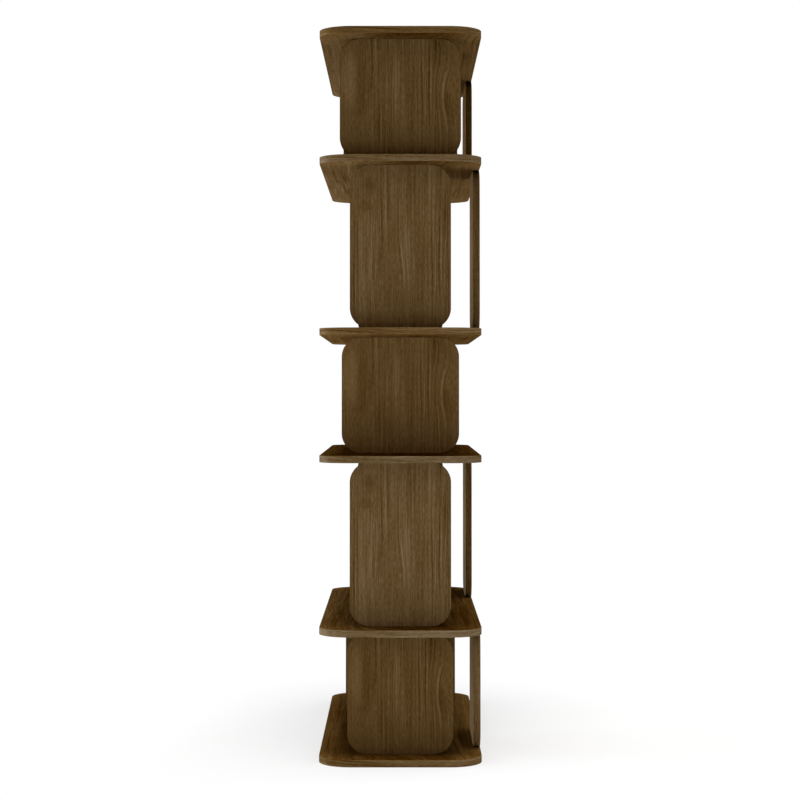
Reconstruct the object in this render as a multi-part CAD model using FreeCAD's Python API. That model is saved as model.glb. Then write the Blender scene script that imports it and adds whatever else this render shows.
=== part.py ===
"""A walnut bookcase: six long shelves held apart by fifteen rounded panels.

A shelf is a veneered core with a solid walnut lipping bent round its edge.
A panel is a veneered board that stands on edge, either across the middle of
the depth or along the rear edge.  Each end of a panel is joined to its shelf
by a loose tongue, glued into a stopped groove in both of them.

X runs along the shelves, with their right-hand end at +X.  Y runs from the
front to the back, and Z up from the floor.  The origin is under the middle
of the base shelf.  All sizes are in millimetres.
"""
import FreeCAD, Part
import os

from FreeCAD import Vector

os.makedirs("parts", exist_ok=True)

# Shelves
length = 1100.0          # every shelf, end to end
depth = 400.0            # every shelf, front to back
board = 17.0             # thickness of every shelf and panel
shelf_corner = 80.0      # corner radius of a shelf, seen from above
low_bay = 296.0          # clear height of the bottom, middle and top bays
tall_bay = 405.0         # clear height of the lower and upper bays
lipping = 2.0            # thickness of the solid walnut edge of a shelf
arris = 0.8              # chamfer along the lipping's outer edges

# Panels
wide_panel = 300.0
narrow_panel = 250.0
foot_panel = 260.0       # width of the bottom bay's right-hand panel
panel_corner = 50.0      # corner radius of a panel, seen face on

# Places of the panels across the depth, as the distance from an end of the
# shelves to the face that is turned to that end
end_setback = 80.0
middle_bay_setback = 255.0
top_middle_place = 405.0
bottom_middle_place = 660.0

# Places of the back panels, from the right-hand end of the shelves
bottom_back_place = 150.0
lower_back_place = 760.0
upper_back_place = 175.0
top_back_place = 730.0

# Loose tongues
tongue_thickness = 5.0
tongue_reach = 6.0       # how far a tongue goes into each of its two boards
tongue_stop = 15.0       # how far it stops short of the panel's round corners
glue_room = 0.5          # space left beyond a tongue at the bottom of its groove

# Worked out from the sizes above
right_end = length / 2
left_end = -length / 2
rear_face = depth / 2
rear_row = rear_face - board / 2      # middle of the back panels' thickness
middle_row = 0.0                      # middle of the depth

ORIGIN = Vector(0, 0, 0)
X_AXIS = Vector(1, 0, 0)
Z_AXIS = Vector(0, 0, 1)

# From the floor up, with a bay above every shelf but the top one
SHELVES = ["base_shelf", "second_shelf", "third_shelf", "fourth_shelf", "fifth_shelf", "top_shelf"]
BAYS = ["bottom_bay", "lower_bay", "middle_bay", "upper_bay", "top_bay"]
bay_heights = [low_bay, tall_bay, low_bay, tall_bay, low_bay]

shelf_undersides = [0.0]
for bay_height in bay_heights:
    shelf_undersides.append(shelf_undersides[-1] + board + bay_height)

# Middle of the thickness of a panel across the depth, placed from either end
from_right = lambda place: right_end - place - board / 2
from_left = lambda place: left_end + place + board / 2

# Bay, name, width and X of each panel across the depth
CROSS_PANELS = [
    ("bottom_bay", "right_panel", foot_panel, from_right(end_setback)),
    ("bottom_bay", "middle_panel", wide_panel, from_right(bottom_middle_place)),
    ("bottom_bay", "left_panel", wide_panel, from_left(end_setback)),
    ("lower_bay", "right_panel", narrow_panel, from_right(end_setback)),
    ("lower_bay", "left_panel", narrow_panel, from_left(end_setback)),
    ("middle_bay", "right_panel", wide_panel, from_right(middle_bay_setback)),
    ("middle_bay", "left_panel", wide_panel, from_left(middle_bay_setback)),
    ("upper_bay", "right_panel", narrow_panel, from_right(end_setback)),
    ("upper_bay", "left_panel", narrow_panel, from_left(end_setback)),
    ("top_bay", "right_panel", wide_panel, from_right(end_setback)),
    ("top_bay", "middle_panel", wide_panel, from_right(top_middle_place)),
]

# Bay, width and distance from the right-hand end of each back panel
BACK_PANELS = [
    ("bottom_bay", wide_panel, bottom_back_place),
    ("lower_bay", narrow_panel, lower_back_place),
    ("upper_bay", narrow_panel, upper_back_place),
    ("top_bay", wide_panel, top_back_place),
]

parts = {}
tongues = {bay: [] for bay in BAYS}
shelf_grooves = {shelf: [] for shelf in SHELVES}


def rounded_board(across, up, corner):
    """A board lying flat, its outline centred on the origin, its underside at Z = 0."""
    flat = Part.makeBox(across, up, board, Vector(-across / 2, -up / 2, 0))
    uprights = [edge for edge in flat.Edges if edge.BoundBox.ZLength > board / 2]
    return flat.makeFillet(corner, uprights)


def without_arris(flat):
    """The same board with a chamfer round the outline of both its faces."""
    outlines = [edge for edge in flat.Edges if edge.BoundBox.ZLength < board / 2]
    return flat.makeChamfer(arris, outlines)


def upright_box(x, y, z, long_side, thickness, reach, crosswise):
    """A box centred on x, y and z that reaches as far above z as below it."""
    size_x, size_y = (thickness, long_side) if crosswise else (long_side, thickness)
    low_corner = Vector(x - size_x / 2, y - size_y / 2, z - reach)
    return Part.makeBox(size_x, size_y, 2 * reach, low_corner)


def make_panel(bay, name, width, x, y, crosswise):
    """One panel between two shelves, with the tongues and grooves at its two ends."""
    level = BAYS.index(bay)
    below, above = SHELVES[level], SHELVES[level + 1]
    floor = shelf_undersides[level] + board
    ceiling = shelf_undersides[level + 1]

    panel = rounded_board(width, ceiling - floor, panel_corner)
    panel.translate(Vector(0, 0, -board / 2))
    panel.rotate(ORIGIN, X_AXIS, 90)
    if crosswise:
        panel.rotate(ORIGIN, Z_AXIS, 90)
    panel.translate(Vector(x, y, (floor + ceiling) / 2))

    tongue_length = width - 2 * (panel_corner + tongue_stop)
    for shelf, z in ((below, floor), (above, ceiling)):
        tongue = upright_box(x, y, z, tongue_length, tongue_thickness, tongue_reach, crosswise)
        groove_reach = tongue_reach + glue_room
        groove = upright_box(x, y, z, tongue_length, tongue_thickness, groove_reach, crosswise)
        panel = panel.cut(groove)
        shelf_grooves[shelf].append(groove)
        tongues[bay].append(tongue)
    parts[bay + "_" + name] = panel


def make_shelf(name, underside):
    """One shelf: the core, grooved for the panels that meet it, and its lipping."""
    core = rounded_board(length - 2 * lipping, depth - 2 * lipping, shelf_corner - lipping)
    edge = without_arris(rounded_board(length, depth, shelf_corner)).cut(core)
    core.translate(Vector(0, 0, underside))
    edge.translate(Vector(0, 0, underside))
    for groove in shelf_grooves[name]:
        core = core.cut(groove)
    parts[name] = core
    parts[name + "_lipping"] = edge


for bay, name, width, x in CROSS_PANELS:
    make_panel(bay, name, width, x, middle_row, crosswise=True)

for bay, width, place in BACK_PANELS:
    make_panel(bay, "back_panel", width, right_end - place - width / 2, rear_row, crosswise=False)

for name, underside in zip(SHELVES, shelf_undersides):
    make_shelf(name, underside)

for bay in BAYS:
    parts[bay + "_tongues"] = Part.makeCompound(tongues[bay])

for name, shape in parts.items():
    shape.exportStep("parts/" + name + ".step")
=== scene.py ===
"""Dresses a walnut bookcase and sets its stage.

Six long shelves lie on fifteen rounded panels.  The shelf cores and the
tongues are the frame's own solids and only get their wood here.  Panels and
lippings are made again with eased edges, each in the place of its solid.
"""

import bpy
import numpy as np
from bpy.props import FloatProperty, FloatVectorProperty, IntProperty, PointerProperty
from bpy.types import Operator, Panel, PropertyGroup
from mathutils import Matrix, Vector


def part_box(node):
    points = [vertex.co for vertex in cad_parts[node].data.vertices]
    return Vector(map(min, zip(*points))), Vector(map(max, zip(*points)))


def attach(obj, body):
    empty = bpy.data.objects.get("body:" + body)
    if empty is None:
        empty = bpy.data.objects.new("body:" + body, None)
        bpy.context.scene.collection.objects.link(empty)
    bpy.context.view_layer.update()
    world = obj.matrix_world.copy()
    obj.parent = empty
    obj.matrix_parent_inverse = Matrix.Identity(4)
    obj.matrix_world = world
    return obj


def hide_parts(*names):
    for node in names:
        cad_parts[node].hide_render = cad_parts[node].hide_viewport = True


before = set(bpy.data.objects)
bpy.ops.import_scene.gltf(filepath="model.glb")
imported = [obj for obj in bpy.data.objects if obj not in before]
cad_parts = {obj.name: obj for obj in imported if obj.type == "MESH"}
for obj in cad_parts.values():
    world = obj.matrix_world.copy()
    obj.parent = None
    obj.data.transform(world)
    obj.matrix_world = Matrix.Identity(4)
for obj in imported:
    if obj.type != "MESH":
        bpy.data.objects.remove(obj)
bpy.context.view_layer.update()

bl_info = {
    "name": "Walnut Bookcase",
    "version": (1, 0, 0),
    "blender": (4, 5, 0),
    "location": "3D View > Sidebar > Bookcase",
    "description": "Dresses a walnut bookcase and sets a pale studio round it",
    "category": "Object",
}

SHELVES = sorted(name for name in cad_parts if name.endswith("_shelf"))
PANELS = sorted(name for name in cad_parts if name.endswith("_panel"))
TONGUES = sorted(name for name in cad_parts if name.endswith("_tongues"))
TALL_BAYS = ("lower_bay", "upper_bay")
GRAIN_MAP = "grain"
WHITE = (1.0, 1.0, 1.0, 1.0)

# How much paler a bay's woods are: the panels' leaves, which differ as leaves do and also carry
# painted light and shade that evens out the light between the bays; the foot of the leaves, with
# painted shade below 0 and painted light above; the leaves that face the front, with painted light;
# and the panels' edges, with painted shade where they stand deep in the bay; and how much warmer
# the leaves are, which in the middle bay stands in for the warm light that the shelf above keeps off
BAY_TONES = {
    "top_bay": {"leaf": -0.10, "foot": -0.26, "front": 0.16, "edge": -0.64, "warmth": 0.0},
    "upper_bay": {"leaf": 0.0, "foot": -0.18, "front": 0.31, "edge": -0.24, "warmth": 0.0},
    "middle_bay": {"leaf": 0.11, "foot": -0.03, "front": 0.34, "edge": -0.12, "warmth": 0.09},
    "lower_bay": {"leaf": 0.05, "foot": 0.10, "front": 0.34, "edge": -0.34, "warmth": 0.0},
    "bottom_bay": {"leaf": -0.13, "foot": 0.11, "front": 0.56, "edge": 0.06, "warmth": 0.02},
}
# The same for a shelf's leaves, with the painted shade that makes them darker from front to rear, so
# much a metre (paler to the rear where below 0)
SHELF_TONES = {
    "top_shelf": {"tone": -0.07, "warmth": 0.01, "painted_rear_shade": 0.5},
    "fifth_shelf": {"tone": -0.01, "warmth": 0.02, "painted_rear_shade": 0.4},
    "fourth_shelf": {"tone": -0.10, "warmth": 0.07, "painted_rear_shade": 0.4},
    "third_shelf": {"tone": -0.30, "warmth": 0.05, "painted_rear_shade": 0.05},
    "second_shelf": {"tone": -0.09, "warmth": 0.05, "painted_rear_shade": 0.4},
    "base_shelf": {"tone": 0.02, "warmth": 0.10, "painted_rear_shade": -0.4},
}
# And for its lipping
LIPPING_TONES = {
    "top_shelf": {"tone": -0.22, "warmth": 0.0},
    "fifth_shelf": {"tone": -0.04, "warmth": -0.07},
    "fourth_shelf": {"tone": -0.13, "warmth": 0.0},
    "third_shelf": {"tone": -0.02, "warmth": -0.08},
    "second_shelf": {"tone": 0.08, "warmth": -0.07},
    "base_shelf": {"tone": -0.14, "warmth": 0.0},
}
# How pale walnut is before its figure, how much paler painted light makes what faces the front, and
# the painted shade added where it faces up
PLAIN_TONE = 0.515
PAINTED_FRONT_LIGHT = 0.34
PAINTED_TOP_SHADE = -0.29
# Where the grain of the lippings and of the panels' edges is cut from
LIPPING_SEED = 40.0
EDGE_SEED = 60.0
# How far up the painted light and shade at the foot of a leaf reach, and the widths that the two
# leaves are drawn to
FOOT_HEIGHT = 0.045
WIDE_LEAF = 0.300
NARROW_LEAF = 0.250

# Walnut's grain, layer by layer: how many times a metre it changes across and along the
# grain, the noise's detail and roughness, and its place in the noise
GRAIN_LAYERS = {
    "bands": (60.0, 1.5, 1.0, 0.5, 0.0),
    "streaks": (230.0, 4.0, 3.0, 0.75, 0.0),
    "dark_lines": (150.0, 2.2, 1.0, 0.5, 31.0),
    "pale_lines": (190.0, 2.8, 1.0, 0.5, 53.0),
    "fibres": (900.0, 30.0, 2.0, 0.6, 0.0),
    "mottle": (420.0, 75.0, 1.0, 0.5, 0.0),
    "pores": (1900.0, 60.0, 1.0, 0.5, 0.0),
}


# ---------------------------------------------------------------- settings

def colour(name, description, default):
    """A colour property, in linear light."""
    return FloatVectorProperty(name=name, description=description, subtype="COLOR",
                               size=3, min=0.0, soft_max=1.0, default=default)


def distance(name, description, default):
    """A length property, in metres."""
    return FloatProperty(name=name, description=description, subtype="DISTANCE",
                         unit="LENGTH", min=0.0, default=default)


def share(name, description, default):
    """A property that goes from 0 to 1."""
    return FloatProperty(name=name, description=description, subtype="FACTOR",
                         min=0.0, max=1.0, default=default)


def strength(name, description, default):
    """The strength of a light."""
    return FloatProperty(name=name, description=description, min=0.0, default=default)


class BookcaseShape(PropertyGroup):
    """Sizes that the frame's boxes don't tell."""
    panel_corner: distance("Panel Corner", "Corner radius of a panel, seen face on", 0.050)
    shelf_corner: distance("Shelf Corner", "Corner radius of a shelf, seen from above", 0.080)
    lipping: distance("Lipping", "Thickness of the solid edge of a shelf", 0.002)
    easing: distance("Easing", "Radius that takes the sharpness off an edge", 0.0010)
    corner_steps: IntProperty(name="Corner Steps", description="Facets in a quarter turn",
                              min=4, max=64, default=20)
    easing_steps: IntProperty(name="Easing Steps", description="Facets across an eased edge",
                              min=1, max=8, default=3)


class BookcaseFinish(PropertyGroup):
    """Colours of the woods, and how strongly they are figured."""
    deepest: colour("Deepest", "Walnut at its very darkest", (0.020, 0.0068, 0.0004))
    deep: colour("Deep", "Walnut in its darkest lines", (0.051, 0.021, 0.0018))
    heart: colour("Heart", "Walnut in its dark streaks", (0.066, 0.032, 0.0065))
    middle: colour("Middle", "Walnut's usual brown", (0.143, 0.084, 0.0300))
    pale: colour("Pale", "Walnut at its palest", (0.246, 0.167, 0.0880))
    ply_pale: colour("Ply Pale", "Birch veneer with its grain along the tongue", (0.62, 0.45, 0.27))
    ply_dark: colour("Ply Dark", "Birch veneer with its grain across the tongue", (0.45, 0.30, 0.16))
    # The marks include painted shade at the panels' feet and the shelves' ends, and the painted
    # highlight on the lippings' arrises
    marks: FloatProperty(name="Marks", description="Strength of the figure's own marks",
                         min=0.0, default=1.0)
    streaks: FloatProperty(name="Streaks", description="Strength of the streaks along the grain",
                           min=0.0, default=1.0)
    grit: FloatProperty(name="Grit", description="Strength of the fibres, mottle and pores",
                        min=0.0, default=1.0)
    texture: distance("Texture", "How deep the open grain is", 0.0002)


class BookcaseStage(PropertyGroup):
    """The studio: floor, light and camera."""
    floor_size: distance("Floor Size", "Side of the floor", 24.0)
    floor_paint: share("Floor Paint", "How pale the floor is for the light that it throws back", 0.85)
    floor_shown: share("Floor Shown", "How pale the floor is where the camera sees it", 0.76)
    floor_lift: share("Floor Lift", "Share of plain white where the camera sees the floor", 0.58)
    sky: strength("Sky", "Strength of the even light from all round", 0.05)
    overhead: strength("Overhead", "Strength of the broad light from above", 3.3)
    end_light: strength("End Light", "Strength of the light on the right-hand end", 0.52)
    end_colour: colour("End Colour", "Colour of the light on the right-hand end", (1.05, 0.95, 0.78))
    front_light: strength("Front Light", "Strength of the light on the front", 2.2)
    front_colour: colour("Front Colour", "Colour of the light on the front", (0.93, 1.0, 1.15))
    rear_light: strength("Rear Light", "Strength of the light on the rear and the far end", 1.6)
    camera_distance: distance("Camera Distance", "From the right-hand end of the shelves", 4.860)
    camera_height: distance("Camera Height", "Above the floor", 0.9088)
    camera_rise: FloatProperty(name="Camera Rise", description="Upward tilt of the camera",
                               subtype="ANGLE", unit="ROTATION", default=0.0198)
    focal_length: FloatProperty(name="Focal Length", description="Lens of the camera, in mm",
                                min=1.0, default=90.08)
    shift_across: FloatProperty(name="Shift Across", description="Lens shift, in picture widths",
                                default=-0.0005, precision=4)
    shift_up: FloatProperty(name="Shift Up", description="Lens shift, in picture widths",
                            default=-0.0600, precision=4)


# ---------------------------------------------------------------- shading

class Value:
    """A node's outlet: something that varies over a surface, with arithmetic."""

    def __init__(self, shader, outlet):
        self.shader = shader
        self.outlet = outlet

    def beside(self, name):
        """Another outlet of the same node."""
        return Value(self.shader, self.outlet.node.outputs[name])

    def __add__(self, other):
        return self.shader.maths("ADD", self, other)

    def __sub__(self, other):
        return self.shader.maths("SUBTRACT", self, other)

    def __rsub__(self, other):
        return self.shader.maths("SUBTRACT", other, self)

    def __mul__(self, other):
        return self.shader.maths("MULTIPLY", self, other)

    def __truediv__(self, other):
        return self.shader.maths("DIVIDE", self, other)

    def __abs__(self):
        return self.shader.maths("ABSOLUTE", self)

    __radd__ = __add__
    __rmul__ = __mul__


class Shader:
    """The nodes of a material or a world."""

    def __init__(self, owner):
        owner.use_nodes = True
        self.tree = owner.node_tree
        self.tree.nodes.clear()

    def node(self, kind, inputs=None, **settings):
        """Add a node with its settings, then its values or links; gives its first outlet."""
        node = self.tree.nodes.new(kind)
        for key, setting in settings.items():
            if key == "stops":
                self.set_stops(node.color_ramp, setting)
            else:
                setattr(node, key, setting)
        for key, value in (inputs or {}).items():
            if isinstance(value, Value):
                self.tree.links.new(value.outlet, node.inputs[key])
            else:
                node.inputs[key].default_value = value
        return Value(self, node.outputs[0]) if node.outputs else None

    @staticmethod
    def set_stops(ramp, stops):
        """Give a colour ramp its (place, colour) stops."""
        while len(ramp.elements) < len(stops):
            ramp.elements.new(1.0)
        for element, (place, shade) in zip(ramp.elements, stops):
            element.position = place
            element.color = (*shade, 1.0)

    def maths(self, operation, *values):
        return self.node("ShaderNodeMath", dict(enumerate(values)), operation=operation)

    def noise(self, x, y, z, detail=2.0, roughness=0.5):
        """Smooth noise about 0, from about -0.5 to 0.5, at a point."""
        point = self.node("ShaderNodeCombineXYZ", {"X": x, "Y": y, "Z": z})
        inputs = {"Vector": point, "Scale": 1.0, "Detail": detail, "Roughness": roughness}
        return self.node("ShaderNodeTexNoise", inputs) - 0.5

    def step(self, value, low, high):
        """0 where value is at low, 1 where it is at high, and smooth between them."""
        inputs = {"Value": value, "From Min": low, "From Max": high, "To Min": 0.0, "To Max": 1.0}
        return self.node("ShaderNodeMapRange", inputs, interpolation_type="SMOOTHSTEP")

    def hump(self, value, centre, width):
        """1 at the centre, falling smoothly to 0 at one width from it on either side."""
        return 1.0 - self.step(abs(value - centre), 0.0, width)

    def stroke(self, across, along, place, size):
        """A thin line along the grain: 1 in its middle, falling to 0 at its sides and ends."""
        return self.hump(across, place[0], size[0]) * self.hump(along, place[1], size[1])

    def spot(self, across, along, place, size):
        """1 in the middle of a soft oval, falling to 0 at its edge."""
        x = (across - place[0]) / size[0]
        y = (along - place[1]) / size[1]
        return 1.0 - self.step(x * x + y * y, 0.0, 1.0)

    def spots(self, across, along, marks):
        """Soft ovals added up; each mark is a place, a size and a strength."""
        shade = 0.0
        for place, size, amount in marks:
            shade = shade + self.spot(across, along, place, size) * amount
        return shade


# Soft marks of the leaves: place and size in metres, across and along the grain,
# from a panel's lower left corner, and how much paler or darker the wood is there
WIDE_MARKS = (
    ((0.024, 0.200), (0.026, 0.090), 0.20),
    ((0.056, 0.190), (0.020, 0.120), -0.16),
    ((0.040, 0.112), (0.022, 0.018), -0.10),
    # Painted shade along the foot
    ((0.150, 0.000), (0.500, 0.020), -0.12),
)
NARROW_MARKS = (
    ((0.050, 0.352), (0.017, 0.030), -0.20),
    ((0.040, 0.302), (0.022, 0.016), -0.15),
    ((0.160, 0.060), (0.012, 0.110), -0.12),
    # Painted shade along the foot
    ((0.125, 0.000), (0.500, 0.018), -0.10),
)


def wide_figure(shader, across, along, layer):
    """The figure of a wide panel.

    Straight grain in the middle, a pale patch on the left, and lines on the
    right that swing round a swelling.  Gives the bent grain, its shade, and
    where the grain is calm.
    """
    near = shader.hump(across, 0.266, 0.042)
    swell = shader.hump(along, 0.150, 0.085) * -0.012 + shader.hump(along, 0.262, 0.075) * 0.010
    bent = across - near * swell
    line = shader.stroke(bent, along, (0.2655, 0.150), (0.0036, 0.150))
    fork = shader.stroke(bent, along, (0.2545, 0.205), (0.0032, 0.060))
    hollow = shader.spot(bent, along, (0.2800, 0.125), (0.012, 0.055))
    shade = line * 0.20 + fork * 0.16 - hollow * 0.16 + shader.spots(across, along, WIDE_MARKS)
    calm = 1.0 - shader.step(across, 0.045, 0.085) + shader.step(across, 0.262, 0.280) * 0.6
    return bent, shade, calm


def narrow_figure(shader, across, along, layer):
    """The figure of a narrow panel.

    A pale band rises on the left and ends in an arch, a thin pale line curves
    down the middle, and the right-hand third is finely striped.
    """
    sway = shader.hump(along, 0.115, 0.110) * 0.009
    bent = across - shader.hump(across, 0.128, 0.040) * sway
    drawn = shader.step(along, 0.085, 0.125) * (1.0 - shader.step(along, 0.200, 0.255))
    line = (shader.hump(bent, 0.1262, 0.0040) - shader.hump(bent, 0.1195, 0.0050) * 0.3) * drawn
    bow = across - 0.040
    arch = 1.0 - shader.step(along + bow * bow * 30.0, 0.272, 0.290)
    band = shader.hump(across, 0.038, 0.030) * arch
    streak = shader.stroke(across, along, (0.050, 0.150), (0.006, 0.070))
    shade = line * 0.42 + band * 0.12 + streak * 0.24 + shader.spots(across, along, NARROW_MARKS)
    low = 1.0 - shader.step(along, 0.170, 0.230)
    calm = shader.hump(across, 0.100, 0.050) * low + shader.hump(across, 0.050, 0.025) * (1.0 - arch)
    return bent, shade, calm


def shelf_figure(shader, across, along, layer):
    """The figure of a shelf's leaf, in metres from the shelf's middle.

    Arches run down the middle, where a leaning cut meets the trunk's rings, with
    straight grain on both sides: a ring's radius is the root of the squares of the
    distance to the side and of the cut's depth.  The middle is dark, and swirls
    sideways near either end, where painted shade of the panels standing there
    makes it darker still.
    """
    middle = shader.hump(across, 0.030, 0.180)
    end = shader.step(abs(along), 0.420, 0.560)
    wander = shader.noise(along * 1.5, 3.0, layer) * 0.040
    curl = shader.noise(across * 24.0, along * 15.0, layer) * 0.060
    side = across + (curl - middle * 0.070) * end + wander
    depth = 0.055 + shader.noise(along * 1.1, 7.0, layer) * 0.110
    bent = shader.maths("SQRT", side * side + depth * depth) + side * 0.2
    broad = shader.noise(bent * 36.0, along * 0.8, 8.0, 1.0) * 0.60
    # Near either end the middle is darker still with painted shade from the panels that stand there
    return bent, broad - middle * (0.22 + end * 0.42), middle * -0.3 + 0.35


def edge_figure(shader, across, along, layer):
    """Straight grain along an edge, as wide as the board is thick."""
    bent = across + shader.noise(across * 6.0, along * 2.5, 3.0) * 0.060
    return bent, shader.noise(bent * 36.0, along * 0.8, 8.0, 1.0) * 0.90, 0.0


def lipping_figure(shader, across, along, layer):
    """An edge's grain, paler along the two arrises with a painted highlight."""
    bent, shade, calm = edge_figure(shader, across, along, layer)
    # Painted highlight along the two arrises
    arris_highlight = shader.hump(across, 0.0008, 0.0024) + shader.hump(across, 0.0173, 0.0024)
    return bent, shade + arris_highlight * (0.10 + shader.noise(along * 14.0, 5.0, layer) * 0.30), calm


def walnut(name, figure, finish, tone=0.0, seed=0.0, foot=0.0, front=PAINTED_FRONT_LIGHT, warmth=0.0,
           painted_rear_shade=0.0, mapped=True):
    """Oiled walnut: bands, streaks, fibres and pores, all drawn out along the grain.

    A mapped piece has a grain map of its own; the grain of any other runs along
    X.  tone makes the whole board paler or darker, foot paints shade on its lower
    end, and light where foot is above 0, and front paints light on what faces the
    front.  warmth turns its brown redder, and painted_rear_shade is painted shade
    that darkens it across the grain, so much a metre.  Leaves that face up are
    darker with painted shade.
    """
    material = bpy.data.materials.new(name)
    shader = Shader(material)
    if mapped:
        place = shader.node("ShaderNodeUVMap", uv_map=GRAIN_MAP)
        across = shader.node("ShaderNodeSeparateXYZ", {"Vector": place})
        along, layer = across.beside("Y"), seed
    else:
        place = shader.node("ShaderNodeTexCoord").beside("Object")
        along = shader.node("ShaderNodeSeparateXYZ", {"Vector": place})
        across, layer = along.beside("Y"), along.beside("Z") * 60.0 + seed

    bent, shade, calm = figure(shader, across, along, layer)
    bent = bent + shader.noise(across * 30.0, along * 5.0, layer) * 0.006
    grain = {}
    for kind, (times_across, times_along, detail, roughness, start) in GRAIN_LAYERS.items():
        grain[kind] = shader.noise(bent * times_across, along * times_along, layer + start,
                                   detail, roughness)
    streaks, fibres = grain["streaks"], grain["fibres"]
    dark_lines = shader.step(grain["dark_lines"], 0.09, 0.20)
    pale_lines = shader.step(grain["pale_lines"], 0.10, 0.22)
    pores = shader.step(grain["pores"], 0.10, 0.24)
    clouds = shader.noise(across * 16.0, along * 9.0, layer)

    liveliness = (1.0 - calm * 0.72) * finish.streaks
    drawn_out = grain["bands"] * 0.43 + streaks * 1.22 + pale_lines * 0.30 - dark_lines * 0.32
    grit = fibres * 0.56 + grain["mottle"] * 0.62 - pores * 0.17
    value = drawn_out * liveliness + grit * finish.grit + clouds * 0.30
    # Masks of the leaves that face up, which get painted shade, and of those that face the front,
    # which get painted light
    facing = shader.node("ShaderNodeSeparateXYZ", {
        "Vector": shader.node("ShaderNodeNewGeometry").beside("Normal")})
    shaded_top = shader.step(facing.beside("Z"), 0.6, 0.9)
    lit_front = shader.step(facing.beside("Y") * -1.0, 0.6, 0.9)
    value = value + shade * finish.marks + shaded_top * PAINTED_TOP_SHADE + lit_front * front + (PLAIN_TONE + tone)
    # Painted shade at the foot of the leaf, and painted light where foot is above 0
    if foot:
        value = value + (1.0 - shader.step(along, 0.0, FOOT_HEIGHT)) * foot
    # Painted shade that darkens the leaf from front to rear
    if painted_rear_shade:
        value = value - across * painted_rear_shade

    browns = [(0.0, finish.deepest), (0.31, finish.deep), (0.40, finish.heart),
              (0.70, finish.middle), (1.0, finish.pale)]
    warm = np.array([1.0 + warmth, 1.0, 1.0 - 2.0 * warmth])
    stops = [(at, np.array(brown) * warm) for at, brown in browns]
    tint = shader.node("ShaderNodeValToRGB", {"Fac": value * 0.6 + 0.4}, stops=stops)
    height = fibres * 0.5 + streaks * 0.3 - pores
    normal = shader.node("ShaderNodeBump", {"Height": height, "Strength": 0.25,
                                            "Distance": finish.texture})
    surface = shader.node("ShaderNodeBsdfPrincipled", {
        "Base Color": tint, "Roughness": streaks * 0.10 + pores * 0.12 + 0.60, "Normal": normal,
        "Specular IOR Level": 0.0})
    shader.node("ShaderNodeOutputMaterial", {"Surface": surface})
    return material


def plywood(name, finish):
    """Birch ply: thin layers that turn pale and dark through the tongue's thickness."""
    material = bpy.data.materials.new(name)
    shader = Shader(material)
    x = shader.node("ShaderNodeSeparateXYZ", {
        "Vector": shader.node("ShaderNodeTexCoord").beside("Object")})
    layers = shader.maths("SINE", (x + x.beside("Y")) * 4200.0)
    fibres = shader.noise(x * 400.0, x.beside("Z") * 900.0, 0.0)
    value = layers * 0.3 + fibres * 0.4 + 0.5
    stops = [(0.2, finish.ply_dark), (0.8, finish.ply_pale)]
    tint = shader.node("ShaderNodeValToRGB", {"Fac": value}, stops=stops)
    inputs = {"Base Color": tint, "Roughness": fibres * 0.2 + 0.7}
    surface = shader.node("ShaderNodeBsdfPrincipled", inputs)
    shader.node("ShaderNodeOutputMaterial", {"Surface": surface})
    return material


# ---------------------------------------------------------------- shapes

def rounded_outline(width, height, radius, steps):
    """Points and outward directions round a rectangle with round corners.

    A corner's points are its centre plus the radius times (cos t, sin t), with t
    going through a quarter turn.  The loop turns leftward, starts at the corner
    where the first coordinate is low and the second high, and straight sides
    join one corner to the next.
    """
    quarter = np.linspace(0.0, np.pi / 2, steps + 1)
    turn = np.arange(1, 5)[:, None] * np.pi / 2 + quarter[None, :]
    outward = np.stack([np.cos(turn), np.sin(turn)], axis=-1)
    signs = np.array([(-1, 1), (-1, -1), (1, -1), (1, 1)], dtype=float)
    centres = signs * (np.array([width, height]) / 2 - radius)
    points = centres[:, None, :] + radius * outward
    return points.reshape(-1, 2), outward.reshape(-1, 2)


def eased_edge(thickness, easing, steps):
    """Profile across a board's edge, as depth inward and level, from the underside up.

    A quarter circle of the easing radius turns out of the underside, a straight
    side follows, and a second quarter circle turns into the top.  Two more rows
    hold the side flat between them.
    """
    t = np.linspace(0.0, np.pi / 2, steps + 1)
    lower = np.stack([easing * (1 - np.sin(t)), easing * (1 - np.cos(t))], axis=-1)
    lower = np.concatenate([lower, [(0.0, easing * 1.4)]])
    upper = lower[::-1] * (1, -1) + (0, thickness)
    return np.concatenate([lower, upper])


def carry(profile, points, outward):
    """Carry a profile round an outline: the outline's point, moved inward by the
    profile's depth, at the profile's level.  Gives an array of rows by points by 3."""
    flat = points[None, :, :] - outward[None, :, :] * profile[:, 0, None, None]
    level = np.broadcast_to(profile[:, 1, None, None], (*flat.shape[:2], 1))
    return np.concatenate([flat, level], axis=-1)


def distance_round(points):
    """How far each point is along the outline, and the whole way round at the end."""
    steps = np.linalg.norm(np.roll(points, -1, axis=0) - points, axis=1)
    return np.concatenate([[0.0], np.cumsum(steps)])


def strip_quads(rows, columns, closed):
    """Corner numbers of the quads between rows of points that close round a loop."""
    row = np.arange(rows if closed else rows - 1)[:, None] * columns
    above = (row + columns) % (rows * columns)
    column = np.arange(columns)[None, :]
    after = (column + 1) % columns
    corners = [row + column, row + after, above + after, above + column]
    return np.stack(np.broadcast_arrays(*corners), axis=-1)


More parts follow.
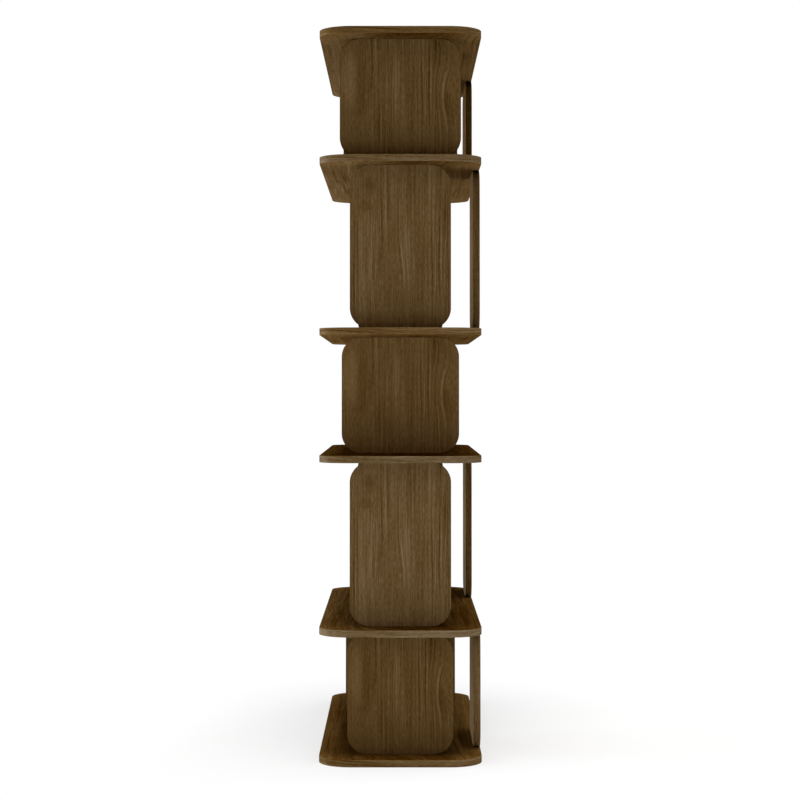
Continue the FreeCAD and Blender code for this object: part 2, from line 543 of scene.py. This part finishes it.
def strip_grain(profile, points, closed):
    """Grain map of the quads: across the grain up the profile, along it round the outline."""
    if closed:
        profile = np.concatenate([profile, profile[:1]])
    climb = np.concatenate([[0.0], np.cumsum(np.linalg.norm(np.diff(profile, axis=0), axis=1))])
    way = distance_round(points)
    across = np.stack([climb[:-1], climb[:-1], climb[1:], climb[1:]], axis=-1)[:, None, :]
    along = np.stack([way[:-1], way[1:], way[1:], way[:-1]], axis=-1)[None, :, :]
    return np.stack(np.broadcast_arrays(across, along), axis=-1)


def add_piece(name, vertices, faces, grain, smooth, slots, materials):
    """A mesh piece with its grain map, shading and materials, riding on the bookcase."""
    mesh = bpy.data.meshes.new(name)
    mesh.from_pydata(vertices.tolist(), [], faces)
    mesh.uv_layers.new(name=GRAIN_MAP).data.foreach_set("uv", grain.astype(np.float32).ravel())
    mesh.polygons.foreach_set("use_smooth", smooth)
    for material in materials:
        mesh.materials.append(material)
    mesh.polygons.foreach_set("material_index", slots)
    mesh.validate()
    mesh.update()
    piece = bpy.data.objects.new(name, mesh)
    bpy.context.collection.objects.link(piece)
    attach(piece, "root")
    return piece


def node_place(node):
    """Middle and size of a node's box, as arrays."""
    low, high = (np.array(corner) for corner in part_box(node))
    return (low + high) / 2, high - low


# ---------------------------------------------------------------- pieces

def make_panel(node, shape, woods, leaf_width):
    """A panel with eased edges: a profile carried round its outline, and two flat faces.

    woods are the materials of its faces and of its edge.  The leaf's figure is
    fitted to the panel's width, and stands on its foot.
    """
    middle, size = node_place(node)
    crosswise = size[0] < size[1]
    width, thickness = (size[1], size[0]) if crosswise else (size[0], size[1])
    height = size[2]
    points, outward = rounded_outline(width, height, shape.panel_corner, shape.corner_steps)
    profile = eased_edge(thickness, shape.easing, shape.easing_steps) - (0, thickness / 2)
    surface = carry(profile, points, outward)
    rows, columns = surface.shape[:2]
    quads = strip_quads(rows, columns, closed=False).reshape(-1, 4)
    back_face = np.arange(columns)[::-1]
    front_face = np.arange(columns) + (rows - 1) * columns

    across, up, out = surface.reshape(-1, 3).T
    if crosswise:
        vertices = np.stack([out, across, up], axis=-1) + middle
    else:
        vertices = np.stack([across, -out, up], axis=-1) + middle

    leaf = np.stack([(across / width + 0.5) * leaf_width, up + height / 2], axis=-1)
    rim = strip_grain(profile, points, closed=False).reshape(-1, 2)
    grain = np.concatenate([rim, leaf[back_face], leaf[front_face]])
    faces = quads.tolist() + [back_face.tolist(), front_face.tolist()]
    smooth = [True] * len(quads) + [False, False]
    slots = [1] * len(quads) + [0, 0]
    piece = add_piece(node + "_veneered", vertices, faces, grain, smooth, slots, woods)
    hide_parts(node)


def make_lipping(shelf, shape, wood):
    """The solid edge of a shelf: a closed profile carried round the shelf's outline."""
    node = shelf + "_lipping"
    middle, size = node_place(node)
    width, depth, thickness = size
    points, outward = rounded_outline(width, depth, shape.shelf_corner, shape.corner_steps)
    outer = eased_edge(thickness, shape.easing, shape.easing_steps)
    inner = np.array([(shape.lipping, thickness), (shape.lipping, 0.0)])
    profile = np.concatenate([outer, inner]) - (0, thickness / 2)
    surface = carry(profile, points, outward)
    rows, columns = surface.shape[:2]
    quads = strip_quads(rows, columns, closed=True).reshape(-1, 4)
    grain = strip_grain(profile, points, closed=True).reshape(-1, 2)
    smooth = np.repeat(np.arange(rows) < len(outer) - 1, columns)
    slots = np.zeros(len(quads), dtype=int)
    vertices = surface.reshape(-1, 3) + middle
    piece = add_piece(shelf + "_edge", vertices, quads.tolist(), grain, smooth, slots, [wood])
    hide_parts(node)


def rewood(node, wood):
    """Give one of the frame's own solids its wood."""
    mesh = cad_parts[node].data
    mesh.materials.clear()
    mesh.materials.append(wood)


class BOOKCASE_OT_shelves(Operator):
    """Veneer the six shelves, with the grain along them"""
    bl_idname = "bookcase.shelves"
    bl_label = "Shelves"

    def execute(self, context):
        finish = context.scene.bookcase_finish
        for shelf in SHELVES:
            wood = walnut(shelf + "_leaf", shelf_figure, finish, mapped=False, **SHELF_TONES[shelf])
            rewood(shelf, wood)
        return {"FINISHED"}


class BOOKCASE_OT_lippings(Operator):
    """Run a solid walnut lipping round each shelf"""
    bl_idname = "bookcase.lippings"
    bl_label = "Lippings"

    def execute(self, context):
        scene = context.scene
        for count, shelf in enumerate(SHELVES):
            wood = walnut(shelf + "_lipping", lipping_figure, scene.bookcase_finish,
                          seed=LIPPING_SEED + count, **LIPPING_TONES[shelf])
            make_lipping(shelf, scene.bookcase_shape, wood)
        return {"FINISHED"}


class BOOKCASE_OT_panels(Operator):
    """Stand the fifteen rounded panels between the shelves"""
    bl_idname = "bookcase.panels"
    bl_label = "Panels"

    def execute(self, context):
        scene = context.scene
        finish = scene.bookcase_finish
        for bay, tones in BAY_TONES.items():
            tall = bay in TALL_BAYS
            figure, leaf_width = (narrow_figure, NARROW_LEAF) if tall else (wide_figure, WIDE_LEAF)
            # The leaf's tones carry painted light and shade: at its foot, on what faces the front, and
            # to even out the light between bays
            leaf = walnut(bay + "_leaf", figure, finish, tones["leaf"], foot=tones["foot"],
                          front=tones["front"], warmth=tones["warmth"])
            # The edges' tone carries painted shade where they stand deep in the bay
            edge = walnut(bay + "_edge", edge_figure, finish, tones["edge"], EDGE_SEED)
            for node in (name for name in PANELS if name.startswith(bay)):
                make_panel(node, scene.bookcase_shape, [leaf, edge], leaf_width)
        return {"FINISHED"}


class BOOKCASE_OT_tongues(Operator):
    """Give the hidden tongues their birch ply"""
    bl_idname = "bookcase.tongues"
    bl_label = "Tongues"

    def execute(self, context):
        wood = plywood("birch_ply", context.scene.bookcase_finish)
        for tongue in TONGUES:
            rewood(tongue, wood)
        return {"FINISHED"}


# ---------------------------------------------------------------- stage

def seen_directly(shader):
    """1 for what the camera sees directly, or in or through the object, and 0 for light."""
    camera = shader.node("ShaderNodeLightPath")
    glossy = camera.beside("Is Glossy Ray")
    through = camera.beside("Is Transmission Ray")
    return shader.maths("MAXIMUM", shader.maths("MAXIMUM", camera, glossy), through)


def add_floor(stage):
    """A plain pale floor that keeps the bookcase's shadow."""
    half = stage.floor_size / 2
    corners = [(-half, -half, 0.0), (half, -half, 0.0), (half, half, 0.0), (-half, half, 0.0)]
    mesh = bpy.data.meshes.new("floor")
    mesh.from_pydata(corners, [], [(0, 1, 2, 3)])
    floor = bpy.data.objects.new("floor", mesh)
    bpy.context.collection.objects.link(floor)

    material = bpy.data.materials.new("pale_floor")
    shader = Shader(material)
    seen = seen_directly(shader)
    grey = stage.floor_paint - seen * (stage.floor_paint - stage.floor_shown)
    paint = shader.node("ShaderNodeBsdfDiffuse", {"Color": grey})
    glow = shader.node("ShaderNodeEmission", {"Color": WHITE, "Strength": 1.0})
    mix = shader.node("ShaderNodeMixShader", {0: seen * stage.floor_lift, 1: paint, 2: glow})
    shader.node("ShaderNodeOutputMaterial", {"Surface": mix})
    mesh.materials.append(material)


def add_sun(name, energy, spread, turn, tint=WHITE):
    """A soft light from far away: its spread in radians, its turn from straight down in degrees."""
    data = bpy.data.lights.new(name, "SUN")
    data.energy = energy
    data.angle = spread
    data.color = tint[:3]
    sun = bpy.data.objects.new(name, data)
    sun.location = (0.0, 0.0, 4.0)
    sun.rotation_euler = np.radians(turn)
    bpy.context.collection.objects.link(sun)


def add_light(stage):
    """Even light from all round, a broad light from above that the floor throws back,
    and softer ones on the right-hand end, the front and the rear."""
    world = bpy.data.worlds.new("studio")
    bpy.context.scene.world = world
    shader = Shader(world)
    light = shader.node("ShaderNodeBackground", {"Color": WHITE, "Strength": stage.sky})
    white = shader.node("ShaderNodeBackground", {"Color": WHITE, "Strength": 1.0})
    mix = shader.node("ShaderNodeMixShader", {0: seen_directly(shader), 1: light, 2: white})
    shader.node("ShaderNodeOutputWorld", {"Surface": mix})

    add_sun("overhead", stage.overhead, spread=0.5, turn=(0.0, 4.0, 0.0))
    add_sun("end_light", stage.end_light, spread=1.0, turn=(0.0, 56.0, 0.0), tint=stage.end_colour)
    add_sun("front_light", stage.front_light, spread=0.9, turn=(84.0, 0.0, 0.0),
            tint=stage.front_colour)
    add_sun("rear_light", stage.rear_light, spread=0.9, turn=(0.0, 80.0, 135.0))


def add_camera(stage):
    """A camera that faces the right-hand end, in the bookcase's middle plane."""
    data = bpy.data.cameras.new("camera")
    data.sensor_width = 36.0
    data.lens = stage.focal_length
    data.shift_x = stage.shift_across
    data.shift_y = stage.shift_up
    data.clip_end = 200.0
    camera = bpy.data.objects.new("camera", data)
    right_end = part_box("base_shelf_lipping")[1][0]
    camera.location = (right_end + stage.camera_distance, 0.0, stage.camera_height)
    camera.rotation_euler = (np.pi / 2 + stage.camera_rise, 0.0, np.pi / 2)
    bpy.context.collection.objects.link(camera)
    bpy.context.scene.camera = camera


class BOOKCASE_OT_stage(Operator):
    """Set the floor, the soft studio light and the camera"""
    bl_idname = "bookcase.stage"
    bl_label = "Stage"

    def execute(self, context):
        stage = context.scene.bookcase_stage
        add_floor(stage)
        add_light(stage)
        add_camera(stage)
        context.scene.view_settings.view_transform = "Standard"
        return {"FINISHED"}


# ---------------------------------------------------------------- add-on

GROUPS = {
    "bookcase_shape": BookcaseShape,
    "bookcase_finish": BookcaseFinish,
    "bookcase_stage": BookcaseStage,
}
OPERATORS = (
    BOOKCASE_OT_stage,
    BOOKCASE_OT_shelves,
    BOOKCASE_OT_lippings,
    BOOKCASE_OT_panels,
    BOOKCASE_OT_tongues,
)


class BOOKCASE_PT_panel(Panel):
    """Sizes, woods and stage of the bookcase"""
    bl_idname = "BOOKCASE_PT_panel"
    bl_label = "Bookcase"
    bl_space_type = "VIEW_3D"
    bl_region_type = "UI"
    bl_category = "Bookcase"

    def draw(self, context):
        for key in GROUPS:
            group = getattr(context.scene, key)
            box = self.layout.box()
            for name in group.bl_rna.properties.keys():
                if name not in ("rna_type", "name"):
                    box.prop(group, name)
        for operator in OPERATORS:
            self.layout.operator(operator.bl_idname)


def register():
    for cls in (*GROUPS.values(), *OPERATORS, BOOKCASE_PT_panel):
        bpy.utils.register_class(cls)
    for key, group in GROUPS.items():
        setattr(bpy.types.Scene, key, PointerProperty(type=group))


def unregister():
    for key in GROUPS:
        delattr(bpy.types.Scene, key)
    for cls in reversed((*GROUPS.values(), *OPERATORS, BOOKCASE_PT_panel)):
        bpy.utils.unregister_class(cls)


def main():
    """Make the stage and every piece."""
    register()
    bpy.ops.bookcase.stage()
    bpy.ops.bookcase.shelves()
    bpy.ops.bookcase.lippings()
    bpy.ops.bookcase.panels()
    bpy.ops.bookcase.tongues()


if __name__ == "__main__":
    main()
